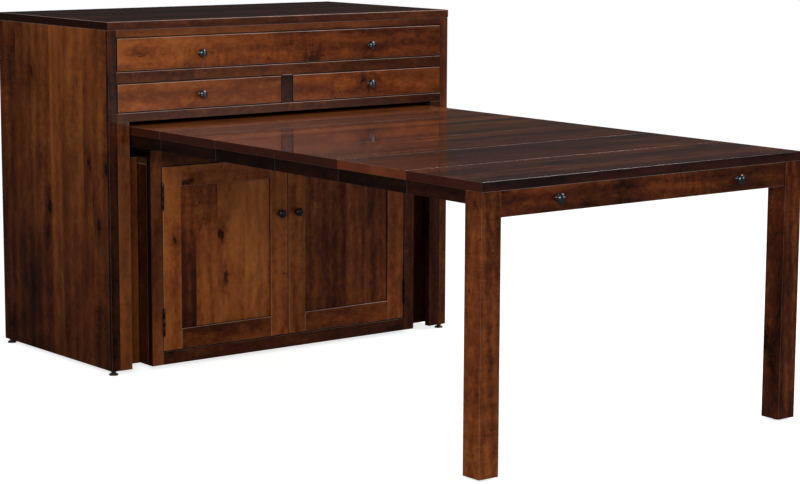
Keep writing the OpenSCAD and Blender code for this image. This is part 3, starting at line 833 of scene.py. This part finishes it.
def knobs(iron):
    """A turned knob on each CAD knob, with the head of its screw behind the wood."""
    screw_head = [(radius * MM, height * MM) for radius, height in SCREW_HEAD]
    for node in ("apron_knobs", "wide_drawer_knobs", "left_drawer_knob", "right_drawer_knob",
                 "left_door_hardware", "right_door_hardware"):
        sized = [(lo, hi, hi - lo) for lo, hi in solids(node)]
        heads = [b for b in sized if b[2].z < KNOB_LOWER_THAN and b[2].x > KNOB_WIDER_THAN]
        screws = [b for b in sized if max(b[2].x, b[2].z) < SCREW_THINNER_THAN]
        for i, (lo, hi, size) in enumerate(heads):
            middle = (lo + hi) / 2
            profile = knob_profile(size.x / 2, size.y)
            place = (middle.x, hi.y, middle.z)
            finish_piece(lathe(f"{node}_turned_{i + 1}", profile, place, (0, -1, 0), iron), node)
            screw = min(screws, key=lambda b: abs((b[0].x + b[1].x) / 2 - middle.x))
            place = (middle.x, screw[1].y - screw_head[-1][1], middle.z)
            finish_piece(lathe(f"{node}_screw_{i + 1}", screw_head, place, (0, 1, 0), iron, 24), node)


def knuckle(name, node, radius, z0, z1, place, iron):
    """Barrel of a hinge between two heights, with a small bead at its ends."""
    low, high = z0 + KNUCKLE_BEAD, z1 - KNUCKLE_BEAD
    inner = radius - KNUCKLE_BEAD
    profile = [(0, z0), (inner, z0), (radius, low), (radius, high), (inner, z1), (0, z1)]
    finish_piece(lathe(name, profile, (place.x, place.y, 0), (0, 0, 1), iron, 32), node)


def plate(name, node, xs, ys, zs, iron):
    """Thin hinge leaf with slightly rounded corners, between pairs of x, y and z."""
    mesh = bmesh.new()
    bmesh.ops.create_cube(mesh, size=1.0)
    spans = (sorted(xs), ys, zs)
    for vert in mesh.verts:
        vert.co = Vector([(low + high) / 2 + c * (high - low) for c, (low, high) in zip(vert.co, spans)])
    piece = new_piece(name, mesh, [iron])
    bevel = piece.modifiers.new("edges", "BEVEL")
    bevel.width = LEAF_EDGE
    bevel.segments = 2
    finish_piece(piece, node)


def hinge(name, pin, iron):
    """Butt hinge: three knuckles, a pin with ball tips, and a leaf on the stile and on the door."""
    lo, hi = pin
    middle = (lo + hi) / 2
    frame_node = "frame_hinge_leaves"
    door_node = "left_door_hardware" if middle.x < 0 else "right_door_hardware"
    on_frame = min(solids(frame_node), key=lambda b: ((b[0] + b[1]) / 2 - middle).length)
    beside = [b for b in solids(door_node) if b[0].z > lo.z and b[1].z < hi.z]
    sized = [(b, b[1] - b[0]) for b in beside]
    on_door = [b for b, size in sized if size.y > LEAF_DEEPER_THAN and size.z > LEAF_HIGHER_THAN]
    z0, z1 = on_frame[0].z, on_frame[1].z
    third = (z1 - z0) / 3
    radius = middle.y - on_frame[0].y
    gap = KNUCKLE_GAP
    knuckle(f"{name}_low_knuckle", frame_node, radius, z0, z0 + third - gap, middle, iron)
    knuckle(f"{name}_high_knuckle", frame_node, radius, z1 - third + gap, z1, middle, iron)
    knuckle(f"{name}_door_knuckle", door_node, radius, z0 + third + gap, z1 - third - gap, middle, iron)
    ball = [(0, 0)] + arc((0, PIN_BALL * PIN_BALL_SUNK), PIN_BALL, -80, 90, 10)
    ball[-1] = (0, ball[-1][1])
    for tag, end, sign in (("bottom", z0, -1), ("top", z1, 1)):
        place = (middle.x, middle.y, end)
        finish_piece(lathe(f"{name}_{tag}_tip", ball, place, (0, 0, sign), iron, 24), "hinge_pins")
    inner = -1 if middle.x > 0 else 1
    outer_edge = middle.x - inner * LEAF_OFFSET
    ys, zs = (middle.y, on_door[0][1].y), (z0, z1)
    plate(f"{name}_stile_leaf", frame_node, (outer_edge, outer_edge + inner * LEAF_THICK), ys, zs, iron)
    xs = (middle.x + inner * LEAF_OFFSET, middle.x + inner * (LEAF_OFFSET - LEAF_THICK))
    plate(f"{name}_door_leaf", door_node, xs, ys, zs, iron)


def hinges(iron):
    """Both hinges of each door."""
    for i, pin in enumerate(solids("hinge_pins")):
        hinge(f"hinge_{i + 1}", pin, iron)


def pad_profile(radius):
    """Flared disc of a levelling foot."""
    rim = arc((radius - PAD_RIM, PAD_RIM), PAD_RIM, -60, 90, 6)
    bend = radius - PAD_NECK
    flare = arc((radius - PAD_INSET, PAD_HEIGHT + bend), bend, -90, -160, 8, 0.8)
    low = [(r, min(z, PAD_SHOULDER)) for r, z in rim + flare]
    return [(0, 0), (radius - PAD_INSET, 0)] + low + [(PAD_NECK, PAD_TOP), (0, PAD_TOP)]


def nut_profile(top):
    """Nut between the pad and the side panel, with chamfered ends."""
    high = top - NUT_PLAY
    inner = NUT_CORNER - NUT_CHAMFER
    return [(0, PAD_TOP), (inner, PAD_TOP), (NUT_CORNER, PAD_TOP + NUT_CHAMFER),
            (NUT_CORNER, high - NUT_CHAMFER), (inner, high), (0, high)]


def stem_profile(low, high):
    """Threaded stem between two heights."""
    thread = []
    for turn in range(int((high - low) / THREAD_PITCH)):
        thread.append((THREAD_ROOT, low + turn * THREAD_PITCH))
        thread.append((THREAD_CREST, low + (turn + 0.5) * THREAD_PITCH))
    return [(0, low)] + thread + [(0, high)]


def feet(steel, rubber):
    """Levelling feet with a flared disc, a hexagon nut and a threaded stem, and the legs' glides."""
    up = (0, 0, 1)
    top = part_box("foot_inserts")[0].z
    for i, (lo, hi) in enumerate(solids("levelling_feet")):
        place = ((lo.x + hi.x) / 2, (lo.y + hi.y) / 2, 0)
        pad = lathe(f"foot_pad_{i + 1}", pad_profile((hi.x - lo.x) / 2), place, up, steel, 40)
        nut = lathe(f"foot_nut_{i + 1}", nut_profile(top), place, up, steel, 6)
        for face in nut.data.polygons:
            face.use_smooth = False
        stem = lathe(f"foot_stem_{i + 1}", stem_profile(top, hi.z), place, up, steel, 24)
        for piece in (pad, nut, stem):
            finish_piece(piece, "levelling_feet")
    for i, (lo, hi) in enumerate(solids("leg_glides")):
        place = ((lo.x + hi.x) / 2, (lo.y + hi.y) / 2, 0)
        radius = (hi.x - lo.x) / 2
        rim = [(radius - inward * MM, height * MM) for inward, height in GLIDE_RIM]
        profile = [(0, 0)] + rim + [(0, rim[-1][1])]
        finish_piece(lathe(f"leg_glide_{i + 1}", profile, place, up, rubber, 40), "leg_glides")


def repaint(node, material):
    """Lets a node keep its CAD shape, with a new material."""
    data = frame["nodes"][node].data
    data.materials.clear()
    data.materials.append(material)


def kept_shapes(steel):
    """The bushes in the side panels' edges and the grooved slide rails keep their CAD shapes."""
    repaint("foot_inserts", steel)
    for node in ("fixed_slide_rails", "slide_rails_1", "slide_rails_2", "slide_rails_3", "front_slide_rails"):
        repaint(node, wood("maple", "y"))


def world():
    """White to the eye, an even fill on the object, and a dim room in its reflections."""
    scene_world = bpy.data.worlds.new("studio")
    bpy.context.scene.world = scene_world
    scene_world.use_nodes = True
    tree = scene_world.node_tree
    tree.nodes.clear()
    n = Nodes(tree)
    path = n.add("ShaderNodeLightPath").outputs
    fill = n.math("MULTIPLY", path["Is Diffuse Ray"], FILL)
    room = n.math("MULTIPLY", path["Is Glossy Ray"], ROOM)
    strength = n.math("ADD", path["Is Camera Ray"], n.math("ADD", fill, room))
    light = n.add("ShaderNodeBackground", {"Color": (1, 1, 1, 1), "Strength": strength})
    n.add("ShaderNodeOutputWorld", {"Surface": light.outputs[0]})


def floor():
    """White floor that keeps the table's shadow."""
    bpy.ops.mesh.primitive_plane_add(size=FLOOR_SIZE, location=(0, 0, 0))
    ground = bpy.context.object
    ground.name = "floor"
    material, n = new_material("white_floor")
    path = n.add("ShaderNodeLightPath").outputs
    darker = n.math("MULTIPLY", path["Is Glossy Ray"], FLOOR_WHITE - FLOOR_IN_GLOSS)
    value = n.math("SUBTRACT", FLOOR_WHITE, darker)
    paint = n.add("ShaderNodeBsdfDiffuse", {"Color": value})
    glow = n.add("ShaderNodeEmission", {"Color": (1, 1, 1, 1), "Strength": FLOOR_GLOW})
    both = n.add("ShaderNodeAddShader", {0: paint.outputs[0], 1: glow.outputs[0]})
    mix = n.add("ShaderNodeMixShader", {0: path["Is Camera Ray"], 1: paint.outputs[0], 2: both.outputs[0]})
    n.add("ShaderNodeOutputMaterial", {"Surface": mix.outputs[0]})
    ground.data.materials.append(material)


def lamp(name, place, target, size, power):
    """Rectangular area lamp that looks at a point."""
    data = bpy.data.lights.new(name, "AREA")
    data.shape = "RECTANGLE"
    data.size, data.size_y = size
    data.energy = power
    light = bpy.data.objects.new(name, data)
    bpy.context.scene.collection.objects.link(light)
    light.location = place
    direction = Vector(target) - Vector(place)
    light.rotation_euler = direction.to_track_quat("-Z", "Y").to_euler()


def camera():
    """Camera at the photograph's viewing angle."""
    yaw, pitch, roll = CAMERA_YAW, CAMERA_PITCH, CAMERA_ROLL
    forward = Vector((math.sin(yaw) * math.cos(pitch), math.cos(yaw) * math.cos(pitch), math.sin(pitch)))
    right = Vector((math.cos(yaw), -math.sin(yaw), 0))
    up = right.cross(forward)
    image_right = math.cos(roll) * right + math.sin(roll) * up
    image_up = -math.sin(roll) * right + math.cos(roll) * up
    turn = Matrix((image_right, image_up, -forward)).transposed().to_4x4()
    data = bpy.data.cameras.new("camera")
    data.sensor_width = SENSOR
    data.lens = FOCAL_PIXELS * SENSOR / IMAGE_WIDTH
    view = bpy.data.objects.new("camera", data)
    bpy.context.scene.collection.objects.link(view)
    view.matrix_world = Matrix.Translation(Vector(CAMERA_PLACE)) @ turn
    bpy.context.scene.camera = view


camera()
bpy.context.scene.view_settings.view_transform = "Standard"
world()
floor()
for row in LAMPS:
    lamp(*row)
iron = metal("oil_rubbed_metal", (0.110, 0.118, 0.138), 0.23)
black_iron = metal("blackened_iron", (0.030, 0.030, 0.034), 0.36)
steel = metal("plated_steel", (0.30, 0.27, 0.21), 0.34)
rubber = metal("dark_glide", (0.02, 0.018, 0.016), 0.5, 0.0, (0.06, 0.05, 0.045))
single_boards()
side_panels()
console_top()
table_boards()
drawer_boxes()
doors()
knobs(iron)
hinges(black_iron)
feet(steel, rubber)
kept_shapes(steel)
